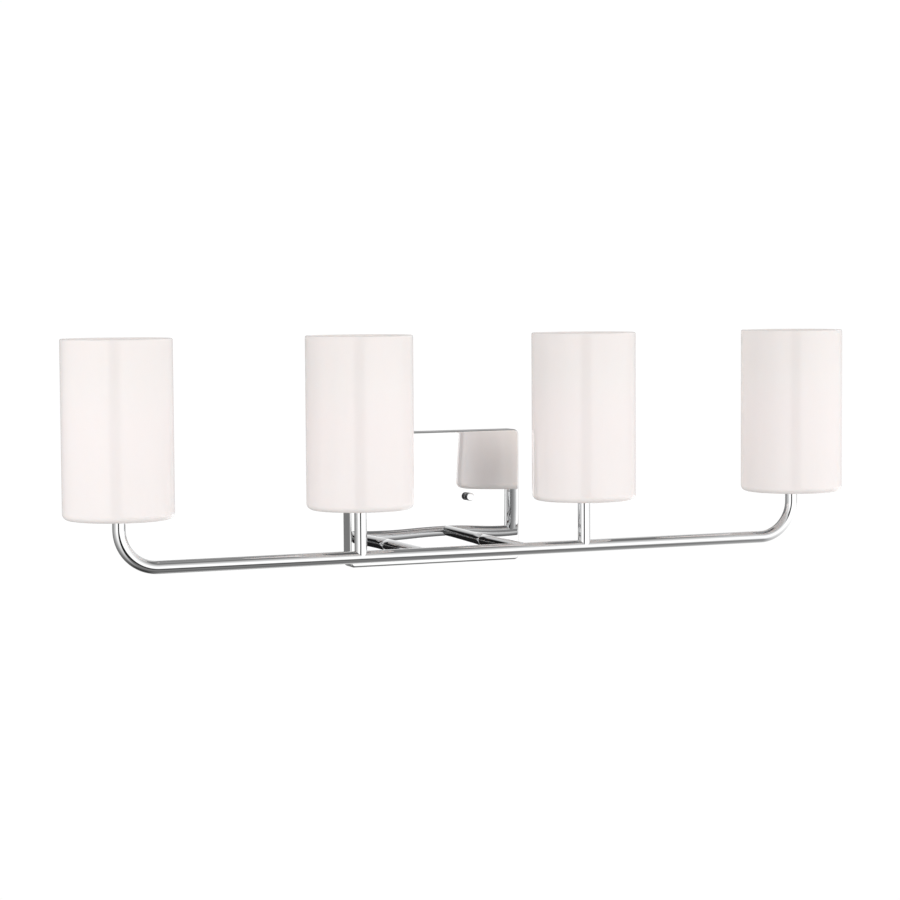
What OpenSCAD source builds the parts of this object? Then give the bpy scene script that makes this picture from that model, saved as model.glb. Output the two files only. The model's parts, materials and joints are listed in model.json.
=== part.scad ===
// Four-light vanity bar: a chromed tube on two arms carries four upright
// opal glass cylinders in front of a flat rectangular wall canopy.
// Frame: origin at the middle of the canopy's back, on the wall;
// +X along the bar to the viewer's right, +Y into the wall, +Z up. Millimetres.

/* [Lights and glass] */
// centre-to-centre distance of neighbouring lights
light_pitch = 234.5; // [190:0.5:300]
// outside diameter of a glass shade
shade_d = 101.6; // [80:0.2:130]
// height of a glass shade
shade_h = 163.5; // [120:0.5:220]
// wall thickness of the glass
shade_wall = 3; // [2:0.1:5]
// thickness of the glass floor
shade_floor = 4; // [3:0.1:6]
// outside radius where the glass wall turns into its floor
shade_corner = 6; // [3:0.5:15]
// underside of the glass above the axis of the bar
shade_lift = 45.7; // [38:0.1:80]

/* [Tubes] */
// outside diameter of the bar, stem and arm tubes
tube_d = 12; // [10:0.1:16]
// wall thickness of the bar, stem and arm tubes
tube_wall = 1.5; // [1:0.1:2]
// centre-line radius of the bends that turn the bar's ends up
bend_r = 36; // [24:1:48]
// distance of each arm from the middle of the canopy
arm_x = 52; // [46:0.5:64]
// axis of the bar in front of the face of the canopy
bar_reach = 95.6; // [60:0.1:140]
// middle of the canopy above the axis of the bar
canopy_lift = 44.8; // [36:0.1:52]

/* [Canopy] */
// width of the canopy
canopy_w = 183; // [150:0.5:240]
// height of the canopy
canopy_h = 132; // [115:0.5:170]
// depth of the canopy from the wall to its face
canopy_depth = 18.4; // [16:0.1:30]
// sheet thickness of the canopy
canopy_wall = 1; // [0.8:0.1:1.5]
// corner radius of the canopy seen from the front
canopy_corner = 5; // [3:0.5:12]
// radius of the rolled edge round the face of the canopy
canopy_roll = 2; // [1.6:0.1:2.8]

/* [Mounting strap] */
// length of the steel strap screwed to the junction box
strap_l = 112; // [106:1:130]
// width of the strap
strap_w = 20; // [16:0.5:26]
// thickness of the strap
strap_t = 2; // [1.5:0.1:3]
// distance between the two junction box screws
box_screw_pitch = 88.9; // [80:0.1:92]
// width of a junction box screw slot
box_slot_w = 4.6; // [4.4:0.1:5.5]
// end-to-end length of a junction box screw slot
box_slot_l = 10; // [8:0.5:10]
// distance between the two threaded studs that carry the canopy
stud_pitch = 69.8; // [60:0.1:70]
// diameter of the threaded studs
stud_d = 4.2; // [3.5:0.1:6]

/* [Knobs] */
// diameter of a canopy knob
knob_d = 8; // [7.5:0.1:12]
// length of a canopy knob
knob_l = 6.8; // [6:0.1:12]
// number of grip grooves round a canopy knob
knob_grooves = 20; // [12:1:30]

/* [Lamp holders] */
// outside diameter of a lamp holder
holder_d = 38; // [36:0.1:40]
// height of a lamp holder over the seat disc
holder_h = 42; // [38:0.5:50]
// pitch of the retaining ring's thread
ring_thread = 2; // [1.5:0.1:3]
// height of a retaining ring
ring_h = 6; // [4:0.5:9]
// rest of the retaining ring beyond the holder
ring_grip = 6.5; // [5:0.1:9]

/* [Bulbs] */
// overall length of a bulb
bulb_l = 110; // [95:1:120]
// diameter of a bulb's globe
bulb_d = 60; // [50:1:66]

/* [Clearances] */
// gap between a turning or lifting piece and what it surrounds
run_gap = 0.3; // [0.2:0.05:0.6]
// radial gap of a plain hole round a threaded nipple or stud
hole_gap = 0.1; // [0.05:0.05:0.4]

/* [Hidden] */
$fn = 96;
eps = 0.01;

// lights stand at these places along the bar
light_x = [-1.5 * light_pitch, -0.5 * light_pitch, 0.5 * light_pitch, 1.5 * light_pitch];
outer_x = light_x[3];
inner_x = light_x[2];

// main planes and axes
face_y = -canopy_depth;
pan_floor_y = face_y + canopy_wall;
bar_y = face_y - bar_reach;
bar_z = -canopy_lift;
glass_z = bar_z + shade_lift;

// tubes
tube_r = tube_d / 2;
bore_r = tube_r - tube_wall;
nipple_r = tube_r - 1;
nipple_bore = nipple_r - 1.25;
wire_port_r = bore_r - 1;

// seat of the glass
gasket_t = 0.5;
seat_t = 1.2;
seat_z = glass_z - gasket_t;
stem_top = seat_z - seat_t;
glass_hole_r = holder_d / 2 + 2;
seat_r = glass_hole_r + 3;
socket_nipple_down = min(7, stem_top - bar_z - bend_r - 0.5);
socket_nipple_up = 5;

// lamp holder, heights over the seat disc
cap_t = 2;
cap_h = 8;
cap_wall = 1;
holder_r = holder_d / 2;
spigot_r = holder_r - cap_wall;
chamber_r = holder_r - 4;
partition_z = 12;
partition_t = 3;
shell_z = partition_z + partition_t;
shell_pitch = 3.63;
shell_rings = 6;
shell_in = 13.55;
shell_out = 14;
shell_top = holder_h - 2;
cavity_r = 14.6;
contact_top = shell_z + 2;
tab_y = 11;

// retaining ring and its slip washer, heights over the seat disc
washer_t = 0.8;
washer_z = gasket_t + shade_floor;
ring_z = washer_z + washer_t;
ring_bore = holder_r + run_gap;
ring_r = holder_r + ring_grip;
ring_grooves = 16;

// bulb, heights over the seat disc
bulb_tip_z = contact_top;
bulb_core_r = 12.3;
bulb_skin_r = 12.6;
bulb_crest = 0.6;
bulb_base_top = bulb_tip_z + 25;
globe_r = bulb_d / 2;
globe_z = bulb_tip_z + bulb_l - globe_r;
globe_wall = 1.2;
collar_r = 0.8 * globe_r;
globe_cut = globe_z - sqrt(globe_r * globe_r - collar_r * collar_r);

// arm joint inside the canopy
lock_washer_t = 0.8;
lock_nut_t = 3;
lock_nut_af = 2 * nipple_r + 4;
arm_thread = 12;
nipple_tail = 1.5;
nipple_end_y = pan_floor_y + lock_washer_t + lock_nut_t + nipple_tail;

// studs and knobs
stud_r = stud_d / 2;
stud_x = stud_pitch / 2;
stud_nut_t = 3.2;
stud_nut_af = 2 * stud_d + 0.4;
knob_washer_t = 0.5;
knob_r = knob_d / 2;
knob_y = face_y - knob_washer_t;
knob_edge = 1.2;
knob_bore = stud_r + run_gap;
knob_cap = 1.3;
knob_bore_l = knob_l - knob_cap;
stud_out = knob_washer_t + knob_bore_l - 0.4;

// wiring
wire_r = 1;
lay_y = 1.6;
lay_z = 1.2;
tail_y = -8;
tail_up = 18;
splice_l = 18;
splice_wide = 4.6;
splice_narrow = 3.4;
splice_grip = 6;
ground_x = 18;
ground_r = 0.8;
ground_screw_r = 2.4;
lug_r = 2.5 * ground_screw_r;
lug_t = 1;
ground_rise = strap_w / 2 + 4;

// ---- placing ----------------------------------------------------------

// children stand on the seat disc of light number i
module at_light(i) {
    translate([light_x[i - 1], bar_y, seat_z])
        children();
}

// a round rod along X from x0 to x1 at the given y and z
module rod_x(x0, x1, y, z, r) {
    translate([x0, y, z])
        rotate([0, 90, 0])
            cylinder(r = r, h = x1 - x0);
}

// a round rod along Y from y0 (nearer the viewer) to y1
module rod_y(x, y0, y1, z, r) {
    translate([x, y1, z])
        rotate([90, 0, 0])
            cylinder(r = r, h = y1 - y0);
}

// a round rod along Z from z0 to z1
module rod_z(x, y, z0, z1, r) {
    translate([x, y, z0])
        cylinder(r = r, h = z1 - z0);
}

// a ball that closes the corner between two rods
module knee(x, y, z, r) {
    translate([x, y, z])
        sphere(r = r);
}

// a hexagonal nut along Y, its back at y1
module nut_y(x, y1, z, af, t, bore) {
    translate([x, y1, z])
        rotate([90, 0, 0])
            difference() {
                cylinder(d = af / cos(30), h = t, $fn = 6);
                translate([0, 0, -1])
                    cylinder(r = bore, h = t + 2);
            }
}

// ---- canopy and strap -------------------------------------------------

// a box on the wall with round corners and a rolled front edge
module soft_box(w, h, d, corner, roll) {
    dx = w / 2 - corner;
    dz = h / 2 - corner;
    difference() {
        rotate([90, 0, 0])
            linear_extrude(d)
                rounded_outline(dx, dz, corner);
        for (t = [0, 1]) {
            mirror([0, 0, t])
                translate([-dx - eps, -d, h / 2])
                    rotate([90, 0, 90])
                        linear_extrude(2 * dx + 2 * eps)
                            edge_cutter(roll);
            mirror([t, 0, 0])
                translate([w / 2, -d, -dz - eps])
                    linear_extrude(2 * dz + 2 * eps)
                        mirror([1, -1])
                            edge_cutter(roll);
        }
        for (k = [0 : 3])
            translate([(k == 0 || k == 3) ? dx : -dx, 0, k < 2 ? dz : -dz])
                rotate([90, 0, 0])
                    rotate([0, 0, 90 * k])
                        rotate_extrude(angle = 90)
                            corner_cutter(corner, d, roll);
    }
}

// a rectangle with round corners; dx and dz reach the corner centres
module rounded_outline(dx, dz, corner) {
    square([2 * dx, 2 * (dz + corner)], center = true);
    square([2 * (dx + corner), 2 * dz], center = true);
    for (s = [-1, 1])
        for (t = [-1, 1])
            translate([s * dx, t * dz])
                circle(r = corner);
}

// section taken off a square edge at the origin to roll it
module edge_cutter(roll) {
    difference() {
        translate([-1, -roll])
            square(roll + 1);
        translate([roll, -roll])
            circle(r = roll);
    }
}

// the same section at a canopy corner, to be turned a quarter round
module corner_cutter(corner, d, roll) {
    difference() {
        translate([corner - roll, d - roll])
            square(roll + 1);
        translate([corner - roll, d - roll])
            circle(r = roll);
    }
}

module backplate() {
    color("gainsboro")
        difference() {
            soft_box(canopy_w, canopy_h, canopy_depth, canopy_corner, canopy_roll);
            translate([0, eps, 0])
                soft_box(canopy_w - 2 * canopy_wall, canopy_h - 2 * canopy_wall,
                    canopy_depth - canopy_wall + eps,
                    canopy_corner - canopy_wall, canopy_roll - canopy_wall);
            for (s = [-1, 1]) {
                rod_y(s * arm_x, face_y - 1, pan_floor_y + 1, bar_z, nipple_r + hole_gap);
                rod_y(s * stud_x, face_y - 1, pan_floor_y + 1, 0, stud_r + 4 * hole_gap);
            }
        }
}

// flat outline of the strap, seen from the front
module strap_outline() {
    difference() {
        union() {
            square([strap_l - strap_w, strap_w], center = true);
            for (s = [-1, 1])
                translate([s * (strap_l - strap_w) / 2, 0])
                    circle(d = strap_w);
        }
        for (s = [-1, 1]) {
            translate([s * stud_x, 0])
                circle(r = stud_r);
            translate([s * box_screw_pitch / 2, 0])
                slot_outline();
        }
        translate([ground_x, 0])
            circle(r = ground_screw_r);
    }
}

// a slot for one junction box screw
module slot_outline() {
    run = box_slot_l - box_slot_w;
    square([run, box_slot_w], center = true);
    for (s = [-1, 1])
        translate([s * run / 2, 0])
            circle(d = box_slot_w);
}

module mounting_strap() {
    color("silver")
        rotate([90, 0, 0])
            linear_extrude(strap_t)
                strap_outline();
}

module canopy_studs() {
    color("lightgrey")
        for (s = [-1, 1]) {
            rod_y(s * stud_x, face_y - stud_out + 0.6, -0.2, 0, stud_r);
            translate([s * stud_x, face_y - stud_out + 0.6, 0])
                rotate([90, 0, 0])
                    cylinder(r1 = stud_r, r2 = stud_r - 0.6, h = 0.6);
        }
}

module stud_nuts() {
    color("lightgrey")
        for (s = [-1, 1])
            translate([s * stud_x, 0, 0])
                rotate([0, 30, 0])
                    nut_y(0, -strap_t, 0, stud_nut_af, stud_nut_t, stud_r);
}

module ground_screw() {
    head_y = -strap_t - lug_t;
    color("seagreen") {
        rod_y(ground_x, head_y, -0.3, 0, ground_screw_r);
        rod_y(ground_x, head_y - 1, head_y, 0, 2 * ground_screw_r);
        difference() {
            translate([ground_x, head_y - 1, 0])
                rotate([90, 0, 0])
                    cylinder(r = 1.7 * ground_screw_r, h = 2.4, $fn = 6);
            translate([ground_x, head_y - 2.9, 0])
                cube([4 * ground_screw_r, 1.2 + eps, 1], center = true);
        }
    }
}

// ---- knobs ------------------------------------------------------------

// half section of a knob, from its back
module knob_profile() {
    difference() {
        union() {
            square([knob_r, knob_l - knob_edge]);
            square([knob_r - knob_edge, knob_l]);
            intersection() {
                translate([knob_r - knob_edge, knob_l - knob_edge])
                    circle(r = knob_edge);
                square([knob_r, knob_l]);
            }
        }
        translate([0, -1])
            square([knob_bore, knob_bore_l + 1]);
    }
}

module knob(s) {
    color("gainsboro")
        translate([s * stud_x, knob_y, 0])
            rotate([90, 0, 0])
                difference() {
                    rotate_extrude()
                        knob_profile();
                    for (k = [0 : knob_grooves - 1])
                        rotate([0, 0, 360 * k / knob_grooves])
                            translate([knob_r + 0.15, 0, 1])
                                cylinder(r = 0.4, h = knob_l - 3.4, $fn = 24);
                }
}

module knob_left() {
    knob(-1);
}

module knob_right() {
    knob(1);
}

module knob_washer(s) {
    color("whitesmoke")
        translate([s * stud_x, face_y, 0])
            rotate([90, 0, 0])
                difference() {
                    cylinder(r = knob_r - 0.5, h = knob_washer_t);
                    translate([0, 0, -1])
                        cylinder(r = knob_bore, h = knob_washer_t + 2);
                }
}

module knob_washer_left() {
    knob_washer(-1);
}

module knob_washer_right() {
    knob_washer(1);
}

// ---- arms, bar and stems ----------------------------------------------

// a straight arm from the canopy's face, coped to sit on the bar
module arm(s) {
    color("gainsboro")
        difference() {
            rod_y(s * arm_x, bar_y, face_y, bar_z, tube_r);
            rod_y(s * arm_x, bar_y - 1, face_y + 1, bar_z, bore_r);
            rod_y(s * arm_x, face_y - arm_thread - 1, face_y + 1, bar_z, nipple_r);
            rod_x(s * arm_x - tube_d, s * arm_x + tube_d, bar_y, bar_z, tube_r);
        }
}

module arm_left() {
    arm(-1);
}

module arm_right() {
    arm(1);
}

module arm_nipples() {
    color("goldenrod")
        for (s = [-1, 1])
            difference() {
                rod_y(s * arm_x, face_y - arm_thread, nipple_end_y, bar_z, nipple_r);
                rod_y(s * arm_x, face_y - arm_thread - 1, nipple_end_y + 1, bar_z, nipple_bore);
            }
}

module arm_washers() {
    color("darkgrey")
        for (s = [-1, 1])
            translate([s * arm_x, pan_floor_y + lock_washer_t, bar_z])
                rotate([90, 0, 0])
                    difference() {
                        cylinder(r = lock_nut_af / 2 + 1.2, h = lock_washer_t);
                        translate([0, 0, -1])
                            cylinder(r = nipple_r + hole_gap, h = lock_washer_t + 2);
                        for (k = [0 : 7])
                            rotate([0, 0, 45 * k])
                                translate([lock_nut_af / 2 + 1.2, 0, -1])
                                    cylinder(r = 1, h = lock_washer_t + 2, $fn = 24);
                    }
}

module arm_nuts() {
    color("goldenrod")
        for (s = [-1, 1])
            nut_y(s * arm_x, pan_floor_y + lock_washer_t + lock_nut_t, bar_z,
                lock_nut_af, lock_nut_t, nipple_r);
}

// the bar's run with both ends bent up, as a rod of the given radius
module bar_run(r) {
    straight = outer_x - bend_r;
    rod_x(-straight, straight, bar_y, bar_z, r);
    for (s = [-1, 1]) {
        translate([s * straight, bar_y, bar_z + bend_r])
            rotate([90, 0, 0])
                rotate([0, 0, s > 0 ? -90 : 180])
                    rotate_extrude(angle = 90)
                        translate([bend_r, 0])
                            circle(r = r);
        rod_z(s * outer_x, bar_y, bar_z + bend_r, stem_top, r);
    }
}

module main_bar() {
    color("gainsboro")
        difference() {
            bar_run(tube_r);
            bar_run(bore_r);
            for (s = [-1, 1]) {
                rod_z(s * outer_x, bar_y, stem_top - socket_nipple_down - 0.5, stem_top + 1, nipple_r);
                rod_z(s * inner_x, bar_y, bar_z, bar_z + tube_d, wire_port_r);
                rod_y(s * arm_x, bar_y, bar_y + tube_d, bar_z, wire_port_r);
            }
        }
}

// a straight inner stem, coped to sit on the bar
module stem(s) {
    color("gainsboro")
        difference() {
            rod_z(s * inner_x, bar_y, bar_z, stem_top, tube_r);
            rod_z(s * inner_x, bar_y, bar_z - 1, stem_top + 1, bore_r);
            rod_z(s * inner_x, bar_y, stem_top - socket_nipple_down - 0.5, stem_top + 1, nipple_r);
            rod_x(s * inner_x - tube_d, s * inner_x + tube_d, bar_y, bar_z, tube_r);
        }
}

module stem_left() {
    stem(-1);
}

module stem_right() {
    stem(1);
}

// ---- wiring -----------------------------------------------------------

// one conductor inside the tubes; side is -1 for the front lay, 1 for the back lay
module conductor(side) {
    y = bar_y + side * lay_y;
    z = bar_z - side * lay_z;
    arc = bend_r + side * lay_z;
    straight = outer_x - bend_r;
    top = side < 0 ? seat_z + shell_z - 4 : seat_z + partition_z - 3;
    rod_x(-straight, straight, y, z, wire_r);
    rod_y(-arm_x, y, tail_y, z, wire_r);
    for (s = [-1, 1]) {
        translate([s * straight, y, bar_z + bend_r])
            rotate([90, 0, 0])
                rotate([0, 0, s > 0 ? -90 : 180])
                    rotate_extrude(angle = 90)
                        translate([arc, 0])
                            circle(r = wire_r);
        rod_z(s * (outer_x + side * lay_z), y, bar_z + bend_r, top, wire_r);
        rod_z(s * inner_x, y, z, top, wire_r);
        if (side > 0) {
            shell_lead(s * (outer_x + side * lay_z), y, top);
            shell_lead(s * inner_x, y, top);
        }
    }
}

// the end of a neutral wire that turns out to the screw shell
module shell_lead(x, y, z) {
    knee(x, y, z, wire_r);
    rod_y(x, y, bar_y + tab_y, z, wire_r);
    knee(x, bar_y + tab_y, z, wire_r);
    rod_z(x, bar_y + tab_y, z, seat_z + shell_z, wire_r);
}

module wire_hot() {
    z = bar_z + lay_z;
    color("dimgrey") {
        conductor(-1);
        knee(-arm_x, tail_y, z, wire_r);
        rod_z(-arm_x, tail_y, z, z + tail_up, wire_r);
    }
}

module wire_neutral() {
    z = bar_z - lay_z;
    color("white") {
        conductor(1);
        knee(-arm_x, tail_y, z, wire_r);
        rod_x(-arm_x, -arm_x + tail_up, tail_y, z, wire_r);
    }
}

module wire_ground() {
    y = -strap_t - 1.2;
    low = lug_r + 1;
    color("peru") {
        difference() {
            union() {
                rod_y(ground_x, -strap_t - lug_t, -strap_t, 0, lug_r);
                translate([ground_x - 1.5, -strap_t - lug_t, 0])
                    cube([3, lug_t, low + 3]);
            }
            rod_y(ground_x, -strap_t - 2, 1, 0, ground_screw_r);
        }
        rod_z(ground_x, y, low, ground_rise, ground_r);
        knee(ground_x, y, ground_rise, ground_r);
        rod_y(ground_x, tail_y, y, ground_rise, ground_r);
        knee(ground_x, tail_y, ground_rise, ground_r);
        rod_z(ground_x, tail_y, ground_rise, ground_rise + 6, ground_r);
    }
}

// a twist-on wire connector with its mouth at the origin, pointing along Z
module splice(bore) {
    difference() {
        union() {
            cylinder(r = splice_wide, h = splice_grip);
            translate([0, 0, splice_grip])
                cylinder(r1 = splice_narrow + 0.6, r2 = splice_narrow, h = splice_l - splice_grip);
        }
        for (k = [0 : 5])
            rotate([0, 0, 60 * k])
                translate([splice_wide, 0, -1])
                    cylinder(r = 0.5, h = splice_grip + 2, $fn = 24);
        translate([0, 0, -1])
            cylinder(r = bore, h = 7);
    }
}

module wire_nuts() {
    color("orange") {
        translate([-arm_x, tail_y, bar_z + lay_z + tail_up - 6])
            splice(wire_r);
        translate([-arm_x + tail_up - 6, tail_y, bar_z - lay_z])
            rotate([0, 90, 0])
                splice(wire_r);
        translate([ground_x, tail_y, ground_rise + ground_r + 0.3])
            splice(ground_r);
    }
}

// ---- seats and lamp holders -------------------------------------------

module seat_discs() {
    color("gainsboro")
        for (i = [1 : 4])
            at_light(i)
                translate([0, 0, -seat_t])
                    difference() {
                        cylinder(r = seat_r, h = seat_t);
                        translate([0, 0, -1])
                            cylinder(r = nipple_r + hole_gap, h = seat_t + 2);
                    }
}

module gaskets() {
    color("dimgrey")
        for (i = [1 : 4])
            at_light(i)
                difference() {
                    cylinder(r = seat_r, h = gasket_t);
                    translate([0, 0, -1])
                        cylinder(r = holder_r + 1, h = gasket_t + 2);
                }
}

module socket_nipples() {
    color("goldenrod")
        for (i = [1 : 4])
            at_light(i)
                translate([0, 0, -seat_t - socket_nipple_down])
                    difference() {
                        cylinder(r = nipple_r, h = seat_t + socket_nipple_down + socket_nipple_up);
                        translate([0, 0, -1])
                            cylinder(r = nipple_bore, h = seat_t + socket_nipple_down + socket_nipple_up + 2);
                    }
}

module socket_caps() {
    color("silver")
        for (i = [1 : 4])
            at_light(i)
                difference() {
                    cylinder(r = holder_r, h = cap_h);
                    translate([0, 0, cap_t])
                        cylinder(r = spigot_r, h = cap_h);
                    translate([0, 0, -1])
                        cylinder(r = nipple_r, h = cap_t + 2);
                }
}

module centre_contacts() {
    color("goldenrod")
        for (i = [1 : 4])
            at_light(i)
                rotate_extrude() {
                    translate([0, shell_z - 4])
                        square([2.4, 4]);
                    translate([0, shell_z])
                        square([5, 1]);
                    translate([0, shell_z])
                        square([3.5, contact_top - shell_z]);
                }
}

// half section of a lamp holder body
module holder_profile() {
    ridge = 0.6;
    first = cap_h + 1.5;
    count = floor((holder_h - 14 - first) / ring_thread);
    difference() {
        union() {
            translate([0, cap_t])
                square([spigot_r, cap_h - cap_t]);
            translate([0, cap_h])
                square([holder_r, holder_h - cap_h]);
        }
        translate([0, cap_t - 1])
            square([chamber_r, partition_z - cap_t + 1]);
        translate([0, shell_z])
            square([cavity_r, holder_h]);
        for (k = [0 : count])
            translate([holder_r, first + k * ring_thread])
                circle(r = ridge, $fn = 48);
        translate([0, cap_t])
            square([2.4, holder_h]);
    }
}

module holder(i) {
    shift = i == 1 ? -lay_z : (i == 4 ? lay_z : 0);
    color("ivory")
        at_light(i)
            difference() {
                rotate_extrude()
                    holder_profile();
                translate([shift, tab_y, partition_z - 1])
                    cylinder(r = wire_r + hole_gap, h = partition_t + 2, $fn = 48);
            }
}

module holder_1() {
    holder(1);
}

module holder_2() {
    holder(2);
}

module holder_3() {
    holder(3);
}

module holder_4() {
    holder(4);
}

// half section of the rolled screw shell
module shell_profile() {
    difference() {
        union() {
            translate([0, shell_z])
                square([shell_out, shell_top - shell_z]);
            for (k = [1 : shell_rings])
                translate([shell_in, shell_z + k * shell_pitch])
                    circle(r = 0.9, $fn = 48);
        }
        translate([0, shell_z + 0.5])
            square([shell_in, shell_top]);
        translate([0, shell_z - 1])
            square([8, 2]);
        for (k = [1 : shell_rings])
            translate([shell_in, shell_z + k * shell_pitch])
                circle(r = 0.55, $fn = 48);
    }
}

module screw_shell(i) {
    color("goldenrod")
        at_light(i)
            rotate_extrude()
                shell_profile();
}

module screw_shell_1() {
    screw_shell(1);
}

module screw_shell_2() {
    screw_shell(2);
}

module screw_shell_3() {
    screw_shell(3);
}

module screw_shell_4() {
    screw_shell(4);
}

// ---- retaining rings --------------------------------------------------

module slip_washer(i) {
    color("lightgrey")
        at_light(i)
            translate([0, 0, washer_z])
                difference() {
                    cylinder(r = ring_r, h = washer_t);
                    translate([0, 0, -1])
                        cylinder(r = ring_bore, h = washer_t + 2);
                }
}

module slip_washer_1() {
    slip_washer(1);
}

module slip_washer_2() {
    slip_washer(2);
}

module slip_washer_3() {
    slip_washer(3);
}

module slip_washer_4() {
    slip_washer(4);
}

module shade_ring(i) {
    color("whitesmoke")
        at_light(i)
            translate([0, 0, ring_z])
                difference() {
                    cylinder(r = ring_r - 0.5, h = ring_h);
                    translate([0, 0, -1])
                        cylinder(r = ring_bore, h = ring_h + 2);
                    for (k = [0 : ring_grooves - 1])
                        rotate([0, 0, 360 * k / ring_grooves])
                            translate([ring_r + 0.5, 0, 1.5])
                                cylinder(r = 1.6, h = ring_h, $fn = 48);
                }
}

module shade_ring_1() {
    shade_ring(1);
}

module shade_ring_2() {
    shade_ring(2);
}

module shade_ring_3() {
    shade_ring(3);
}

module shade_ring_4() {
    shade_ring(4);
}

// ---- glass ------------------------------------------------------------

// half section of a glass shade, its underside at height zero
module shade_profile() {
    r = shade_d / 2;
    inner_r = r - shade_wall;
    inner_corner = max(1, shade_corner - shade_wall);
    lip = shade_wall / 2;
    difference() {
        union() {
            square([r - shade_corner, shade_h / 2]);
            translate([0, shade_corner])
                square([r, shade_h - lip - shade_corner]);
            translate([r - shade_corner, shade_corner])
                circle(r = shade_corner);
        }
        translate([0, shade_floor + inner_corner])
            square([inner_r, shade_h]);
        translate([0, shade_floor])
            square([inner_r - inner_corner, shade_h]);
        translate([inner_r - inner_corner, shade_floor + inner_corner])
            circle(r = inner_corner);
        translate([0, -1])
            square([glass_hole_r, shade_floor + 2]);
    }
    translate([r - lip, shade_h - lip])
        circle(r = lip, $fn = 48);
}

module shade(i) {
    color("mintcream")
        at_light(i)
            translate([0, 0, gasket_t])
                rotate_extrude()
                    shade_profile();
}

module shade_1() {
    shade(1);
}

module shade_2() {
    shade(2);
}

module shade_3() {
    shade(3);
}

module shade_4() {
    shade(4);
}

// ---- bulbs ------------------------------------------------------------

// half section of the bulb's threaded metal base
module base_profile() {
    low = bulb_tip_z + 4;
    difference() {
        union() {
            translate([0, low])
                square([bulb_skin_r, bulb_base_top - low]);
            for (k = [0 : 4])
                translate([bulb_skin_r, low + 2 + k * shell_pitch])
                    circle(r = bulb_crest, $fn = 48);
        }
        translate([0, low - 1])
            square([bulb_core_r, bulb_l]);
    }
}

module bulb_base(i) {
    color("silver")
        at_light(i) {
            rotate_extrude()
                base_profile();
            translate([0, 0, bulb_tip_z])
                cylinder(r = 4.6, h = 1.2);
        }
}

module bulb_base_1() {
    bulb_base(1);
}

module bulb_base_2() {
    bulb_base(2);
}

module bulb_base_3() {
    bulb_base(3);
}

module bulb_base_4() {
    bulb_base(4);
}

// the plastic body fills the metal base and flares out to carry the globe
module bulb_body(i) {
    low = bulb_tip_z + 4;
    color("snow")
        at_light(i) {
            translate([0, 0, bulb_tip_z + 1.2])
                cylinder(r1 = 5.2, r2 = bulb_core_r, h = low - bulb_tip_z - 1.2);
            translate([0, 0, low])
                cylinder(r = bulb_core_r, h = bulb_base_top - low);
            translate([0, 0, bulb_base_top])
                cylinder(r1 = bulb_skin_r + 0.4, r2 = collar_r, h = globe_cut - bulb_base_top);
        }
}

module bulb_body_1() {
    bulb_body(1);
}

module bulb_body_2() {
    bulb_body(2);
}

module bulb_body_3() {
    bulb_body(3);
}

module bulb_body_4() {
    bulb_body(4);
}

module bulb_globe(i) {
    color("floralwhite")
        at_light(i)
            difference() {
                translate([0, 0, globe_z])
                    sphere(r = globe_r);
                translate([0, 0, globe_z])
                    sphere(r = globe_r - globe_wall);
                translate([0, 0, globe_cut - bulb_d])
                    cylinder(r = bulb_d, h = bulb_d);
            }
}

module bulb_globe_1() {
    bulb_globe(1);
}

module bulb_globe_2() {
    bulb_globe(2);
}

module bulb_globe_3() {
    bulb_globe(3);
}

module bulb_globe_4() {
    bulb_globe(4);
}

// ---- drawing ----------------------------------------------------------
backplate();
mounting_strap();
canopy_studs();
stud_nuts();
ground_screw();
arm_left();
arm_right();
arm_nipples();
arm_washers();
arm_nuts();
main_bar();
stem_left();
stem_right();
wire_hot();
wire_neutral();
wire_ground();
wire_nuts();
knob_left();
knob_right();
knob_washer_left();
knob_washer_right();
seat_discs();
gaskets();
socket_nipples();
socket_caps();
centre_contacts();
holder_1();
holder_2();
holder_3();
holder_4();
screw_shell_1();
screw_shell_2();
screw_shell_3();
screw_shell_4();
slip_washer_1();
slip_washer_2();
slip_washer_3();
slip_washer_4();
shade_ring_1();
shade_ring_2();
shade_ring_3();
shade_ring_4();
shade_1();
shade_2();
shade_3();
shade_4();
bulb_base_1();
bulb_base_2();
bulb_base_3();
bulb_base_4();
bulb_body_1();
bulb_body_2();
bulb_body_3();
bulb_body_4();
bulb_globe_1();
bulb_globe_2();
bulb_globe_3();
bulb_globe_4();
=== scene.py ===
"""A four-light vanity bar: chrome tubes, a mirror-polished canopy and opal glass cylinders."""

import json
import math

import bmesh
import bpy
from mathutils import Matrix, Vector


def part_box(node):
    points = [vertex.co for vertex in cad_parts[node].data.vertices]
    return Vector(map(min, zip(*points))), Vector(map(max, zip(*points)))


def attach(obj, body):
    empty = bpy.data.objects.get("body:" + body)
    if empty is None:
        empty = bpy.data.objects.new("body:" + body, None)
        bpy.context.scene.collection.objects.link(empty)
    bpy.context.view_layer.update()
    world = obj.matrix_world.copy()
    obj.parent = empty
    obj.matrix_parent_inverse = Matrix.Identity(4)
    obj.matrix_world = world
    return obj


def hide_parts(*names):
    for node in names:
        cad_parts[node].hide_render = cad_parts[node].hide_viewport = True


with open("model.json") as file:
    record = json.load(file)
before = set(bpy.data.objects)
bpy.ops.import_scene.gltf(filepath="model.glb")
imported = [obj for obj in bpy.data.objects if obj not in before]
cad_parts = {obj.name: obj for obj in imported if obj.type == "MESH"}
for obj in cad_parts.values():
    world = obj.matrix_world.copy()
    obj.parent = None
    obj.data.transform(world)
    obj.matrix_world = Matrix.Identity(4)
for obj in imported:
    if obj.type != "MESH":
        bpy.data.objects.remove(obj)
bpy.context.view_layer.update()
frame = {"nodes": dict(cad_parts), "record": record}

MM = 0.001
TAU = 2 * math.pi
LIGHTS = (1, 2, 3, 4)


# ---- sizes, most from the imported model -------------------------------------

def span(node):
    low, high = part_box(node)
    return low, high, (low + high) / 2


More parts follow.
